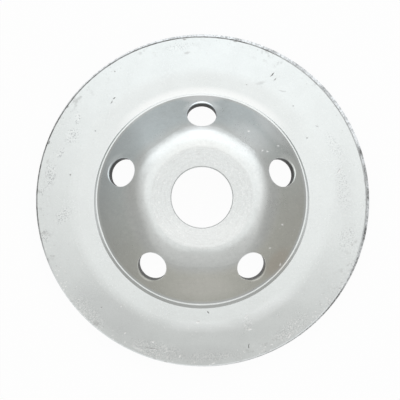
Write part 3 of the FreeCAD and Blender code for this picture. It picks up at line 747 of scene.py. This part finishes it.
@dataclass(frozen=True)
class DiamondBond:
    """Sintered metal bond full of diamond grit: grey, granular and matt, with open pores."""

    name: str = "diamond_bond"
    bond: float = 0.30
    crystals: Colour = (0.50, 0.49, 0.42, 1.0)
    pores: Colour = (0.035, 0.034, 0.033, 1.0)
    spray: float = 0.88
    bare: tuple[Mark, ...] = (
        Mark(60.2, 18.2, 5.0, 5.0, 106.0, Tone.DARK),
        Mark(62.0, 10.2, 11.0, 5.0, 99.0, Tone.DARK, 0.6),
        Mark(62.8, 2.1, 6.0, 5.0, 92.0, Tone.DARK, 0.85),
        Mark(61.3, -13.0, 9.0, 5.0, 78.0, Tone.DARK),
        Mark(57.4, -24.8, 11.0, 5.0, 66.0, Tone.DARK, 0.5),
        Mark(49.3, -38.3, 18.0, 5.0, 52.0, Tone.DARK, 0.9),
        Mark(37.6, 50.6, 10.0, 5.0, 144.0, Tone.DARK, 0.35),
        Mark(47.2, 41.8, 8.0, 5.0, 132.0, Tone.DARK, 0.4),
        Mark(13.5, 61.4, 5.0, 5.0, 168.0, Tone.DARK, 0.3),
        Mark(26.8, 57.0, 7.0, 5.0, 155.0, Tone.DARK, 0.35),
    )

    def build(self) -> bpy.types.Material:
        """Mixes the bond.

        Returns:
            The material.
        """
        shader = Shader(self.name)
        where = shader.place()
        clouds = shader.noise(where, 0.5, 3.0)
        fine = shader.noise(where, 5.0, 3.0, 0.65)
        crystal, crystal_tones = shader.cells(where, 1.7)
        grit = crystal.rise(0.42, 0.22) * crystal_tones[0].rise(0.45, 0.6)
        pit, pit_tones = shader.cells(where, 1.05)
        holes = pit.rise(0.40, 0.2) * pit_tones[1].rise(0.62, 0.72)

        colour = shader.blend(clouds.rise(0.3, 0.7), grey(self.bond * 0.72, 0.02), grey(self.bond * 1.25))
        colour = shader.blend(fine.rise(0.4, 0.75) * 0.5, colour, grey(0.16))
        colour = shader.blend(grit * 0.85, colour, self.crystals)
        colour = shader.blend(holes, colour, self.pores)
        lumps = shader.noise(where, 1.2, 3.0, 0.65)
        dark_lumps = lumps.rise(0.50, 0.57)
        colour = shader.blend(dark_lumps * 0.60, colour, grey(0.09, -0.06))
        colour = shader.blend(lumps.rise(0.47, 0.40) * 0.60, colour, grey(0.64, -0.03))
        facing = shader.facing()
        x, y, _ = shader.parts(where)
        missed = joined(self.bare, shader, shader.flat(x, y))
        # Silver overspray on the faces that face up, reaching further towards the top and missing the bare
        # marks; on the sides at the bottom it is a painted highlight.
        reached = (0.75 + y.rise(2.0, 30.0) * 0.25) * (1.0 - missed * 0.85)
        specks, _ = shader.cells(where, 1.25)
        up_faces_and_lit_sides = facing.rise(0.3, 0.7).greater(y.rise(-42.0, -46.0) * facing.rise(-0.6, -0.3))
        spray_and_painted_light = up_faces_and_lit_sides * reached * (1.0 - dark_lumps * 0.28) * specks.rise(-0.2, 0.3)
        colour = shader.blend(spray_and_painted_light, colour, grey(self.spray, -0.03))
        relief = 0.5 + grit * 0.5 - holes * 0.5 + (fine - 0.5) * 0.4
        rough = 0.62 + (fine - 0.5) * 0.3 - grit * 0.30 - spray_and_painted_light * 0.2
        metal = 0.55 - grit * 0.5 - holes * 0.4 + spray_and_painted_light * 0.4
        return shader.finish({
            "Base Color": colour,
            "Metallic": metal.greater(0.0).lesser(0.95),
            "Roughness": rough,
            "Normal": shader.bump(relief * (1.0 - spray_and_painted_light * 0.7), 0.16),
            "IOR": 1.6,
        })


@dataclass(frozen=True)
class GritStone:
    """Single diamond crystals that stand out of the bond: greenish grey and glassy."""

    name: str = "grit_stone"
    dull: Colour = (0.34, 0.34, 0.24, 1.0)
    clear: Colour = (0.62, 0.62, 0.52, 1.0)

    def build(self) -> bpy.types.Material:
        """Mixes the crystals' finish.

        Returns:
            The material.
        """
        shader = Shader(self.name)
        where = shader.place()
        tone = shader.cells(where, 1.6)[1][0]
        frost = shader.noise(where, 9.0, 2.0)
        colour = shader.blend(tone, self.dull, self.clear)
        colour = shader.blend(frost.rise(0.45, 0.7) * 0.5, colour, grey(0.25))
        return shader.finish({
            "Base Color": colour,
            "Roughness": 0.22 + frost * 0.3,
            "IOR": 2.0,
            "Normal": shader.bump(frost, 0.03),
        })


@dataclass
class SteelDish:
    """The pressed dish, which comes from the frame and gets its paint here."""

    node: bpy.types.Object
    paint: SilverPaint = field(default_factory=SilverPaint)

    def dress(self) -> None:
        """Paints the dish."""
        material = self.paint.build()
        for slot in self.node.material_slots:
            slot.material = material
        LOG.info("%s: painted, %d marks", self.node.name, len(self.paint.marks))


@dataclass
class AbrasiveRing:
    """The backing ring under the flange and its segments, with the crystals that stand out of their sides.

    A crystal's radius lies between smallest and largest, in millimetres. It is sunk into the side and keeps
    a margin inside the whole object's box, both as shares of its radius, and it stands only on faces whose
    normal rises by less than upright. Its two squashes stretch it sideways and lengthwise.
    """

    backing: bpy.types.Object
    segments: Sequence[bpy.types.Object]
    box: tuple[Vector, Vector]
    bond: DiamondBond = field(default_factory=DiamondBond)
    stone: GritStone = field(default_factory=GritStone)
    crystals_per_segment: int = 46
    smallest: float = 0.10
    largest: float = 0.24
    sunk: float = 0.25
    margin: float = 1.6
    upright: float = 0.4
    squashes: tuple[tuple[float, float], ...] = ((0.7, 1.0), (0.75, 1.15))
    seed: int = 11

    def side_points(self, segment: bpy.types.Object, chance: random.Random) -> list[tuple[Vector, Vector]]:
        """Picks places on a segment's upright sides.

        Args:
            segment: the segment's object.
            chance: where the random numbers come from.

        Returns:
            Pairs of a place and the way that the surface faces there.
        """
        mesh = segment.data
        mesh.calc_loop_triangles()
        sides = [face for face in mesh.loop_triangles if abs(face.normal.z) < self.upright]
        areas = [face.area for face in sides]
        picked = []
        for face in chance.choices(sides, weights=areas, k=self.crystals_per_segment):
            corners = [mesh.vertices[index].co for index in face.vertices]
            first, second = sorted((chance.random(), chance.random()))
            point = corners[0] * first + corners[1] * (second - first) + corners[2] * (1 - second)
            picked.append((point, face.normal.copy()))
        return picked

    def fits(self, point: Vector, reach: float) -> bool:
        """Whether a crystal at a point stays inside the whole object's box."""
        low, high = self.box
        return all(low[axis] + reach < point[axis] < high[axis] - reach for axis in range(3))

    def build_grit(self) -> bpy.types.Object:
        """Sets the crystals into the segments' sides.

        Returns:
            One piece that holds all the crystals.
        """
        chance = random.Random(self.seed)
        shape = bmesh.new()
        count = 0
        for segment in self.segments:
            for point, normal in self.side_points(segment, chance):
                size = chance.uniform(self.smallest, self.largest) * MM
                if not self.fits(point, size * self.margin):
                    continue
                axis = Vector((chance.gauss(0, 1), chance.gauss(0, 1), chance.gauss(0, 1)))
                turn = axis.to_track_quat("Z", "Y").to_matrix().to_4x4()
                squash = [chance.uniform(low, high) for low, high in self.squashes]
                stretch = Matrix.Diagonal((1.0, *squash, 1.0))
                place = Matrix.Translation(point - normal * size * self.sunk)
                bmesh.ops.create_icosphere(shape, subdivisions=1, radius=size, matrix=place @ turn @ stretch)
                count += 1
        bmesh.ops.recalc_face_normals(shape, faces=shape.faces)
        mesh = bpy.data.meshes.new("diamond_grit")
        shape.to_mesh(mesh)
        shape.free()
        piece = bpy.data.objects.new("diamond_grit", mesh)
        bpy.context.scene.collection.objects.link(piece)
        mesh.materials.append(self.stone.build())
        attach(piece, "root")
        LOG.info("diamond_grit: %d crystals", count)
        return piece

    def dress(self) -> None:
        """Gives the backing ring and each segment their bond."""
        material = self.bond.build()
        for piece in (self.backing, *self.segments):
            for slot in piece.material_slots:
                slot.material = material
        LOG.info("backing ring and %d segments dressed", len(self.segments))


def upright_axes(back: Vector) -> Matrix:
    """Axes for what hangs over the disc, with its own X along the world's X.

    Args:
        back: the way from what it faces to itself.

    Returns:
        The turn, as a matrix with three rows.
    """
    away = back.normalized()
    right = Vector((0.0, 1.0, 0.0)).cross(away).normalized()
    return Matrix((right, away.cross(right), away)).transposed()


@dataclass(frozen=True)
class Lamp:
    """A soft rectangular lamp that faces the disc. Place and size in metres, power in watts."""

    name: str
    place: tuple[float, float, float]
    size: tuple[float, float]
    power: float
    tint: tuple[float, float, float] = (1.0, 1.0, 1.0)

    def build(self) -> None:
        """Hangs the lamp."""
        data = bpy.data.lights.new(self.name, "AREA")
        data.shape = "RECTANGLE"
        data.size, data.size_y = self.size
        data.energy = self.power
        data.color = self.tint
        lamp = bpy.data.objects.new(self.name, data)
        lamp.matrix_world = Matrix.Translation(self.place) @ upright_axes(Vector(self.place)).to_4x4()
        bpy.context.scene.collection.objects.link(lamp)
        LOG.info("%s: %.2f W", self.name, self.power)


@dataclass
class Studio:
    """White floor, soft lamps and the camera over the disc. Sizes in millimetres and degrees.

    The floor is pale paper with upturned edges. The camera sees it as plain white for the share that
    whiteness gives, and as paper, with the disc's shadow on it, for the rest.
    """

    lens: float = 103.0
    sensor: float = 36.0
    distance: float = 425.0
    clip: tuple[float, float] = (10.0, 20000.0)
    tilt: float = 4.25
    lean: float = 0.4
    aim: tuple[float, float, float] = (-0.63, -0.28, 7.2)
    floor_size: float = 3000.0
    floor_gap: float = 0.05
    upturn: float = 240.0
    paper: float = 0.88
    whiteness: float = 0.96
    surroundings: float = 0.415
    room: Colour = (1.0, 0.985, 0.94, 1.0)
    lamps: tuple[Lamp, ...] = (
        Lamp("overhead_box", (0.08, 0.15, 1.0), (1.00, 0.52), 0.92),
        Lamp("rear_box", (0.0, 0.84, 1.0), (1.80, 0.78), 3.5, (0.94, 1.0, 1.04)),
        Lamp("wide_ceiling", (0.05, 0.0, 1.0), (1.75, 3.20), 4.1),
    )

    def set_camera(self) -> None:
        """Hangs the camera over the disc, a little towards -Y."""
        data = bpy.data.cameras.new("camera")
        data.lens = self.lens
        data.sensor_width = self.sensor
        data.clip_start, data.clip_end = (limit * MM for limit in self.clip)
        camera = bpy.data.objects.new("camera", data)
        bpy.context.scene.collection.objects.link(camera)
        target = Vector(self.aim) * MM
        back = Vector((
            -math.sin(math.radians(self.lean)),
            -math.sin(math.radians(self.tilt)),
            math.cos(math.radians(self.tilt)),
        )).normalized()
        place = Matrix.Translation(target + back * self.distance * MM)
        camera.matrix_world = place @ upright_axes(back).to_4x4()
        bpy.context.scene.camera = camera

    def build_floor(self) -> None:
        """Lays the white floor with upturned edges, which shows white to the camera and keeps the shadow."""
        shape = bmesh.new()
        below = Matrix.Translation((0.0, 0.0, -self.floor_gap * MM))
        reach = self.floor_size * MM / 2
        bmesh.ops.create_grid(shape, x_segments=1, y_segments=1, size=reach, matrix=below)
        raised = bmesh.ops.extrude_edge_only(shape, edges=shape.edges[:])["geom"]
        corners = [part for part in raised if isinstance(part, bmesh.types.BMVert)]
        bmesh.ops.translate(shape, verts=corners, vec=(0.0, 0.0, self.upturn * MM))
        mesh = bpy.data.meshes.new("floor")
        shape.to_mesh(mesh)
        shape.free()
        floor = bpy.data.objects.new("floor", mesh)
        bpy.context.scene.collection.objects.link(floor)
        shader = Shader("floor")
        path = shader.node("ShaderNodeLightPath", {}, {})
        seen = Signal(shader, path.outputs["Is Camera Ray"])
        for kind in ("Is Glossy Ray", "Is Transmission Ray"):
            seen = seen.greater(Signal(shader, path.outputs[kind]))
        paper = shader.add("ShaderNodeBsdfDiffuse", {}, {"Color": grey(self.paper)})
        white = shader.add("ShaderNodeEmission", {}, {"Color": grey(1.0), "Strength": 1.0})
        mixed = shader.node("ShaderNodeMixShader", {}, {0: seen * self.whiteness, 1: paper, 2: white})
        shader.tree.links.new(mixed.outputs[0], shader.output.inputs["Surface"])
        mesh.materials.append(shader.material)
        floor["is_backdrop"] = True

    def set_surroundings(self) -> None:
        """Surrounds the disc with an even grey room."""
        world = bpy.data.worlds.new("room")
        world.use_nodes = True
        background = world.node_tree.nodes["Background"]
        background.inputs["Color"].default_value = self.room
        background.inputs["Strength"].default_value = self.surroundings
        bpy.context.scene.world = world

    def build(self) -> None:
        """Sets up camera, room, lamps and floor."""
        self.set_camera()
        self.set_surroundings()
        self.build_floor()
        for lamp in self.lamps:
            lamp.build()
        bpy.context.scene.view_settings.view_transform = "Standard"
        LOG.info("studio: camera %.0f mm away, tilted %.2f degrees", self.distance, self.tilt)


def main() -> None:
    """Dresses the disc, builds what is new on it and sets up the studio."""
    logging.basicConfig(level=logging.INFO, format="%(name)s: %(message)s")
    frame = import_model()
    cad_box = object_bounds()
    nodes = frame["nodes"]
    SteelDish(nodes["steel_body"]).dress()
    ring = AbrasiveRing(
        nodes["backing_ring"],
        [nodes[name] for name in sorted(nodes) if name.startswith("segment_")],
        (Vector(cad_box[0]), Vector(cad_box[1])),
    )
    ring.dress()
    ring.build_grit()
    Studio().build()


if __name__ == "__main__":
    main()
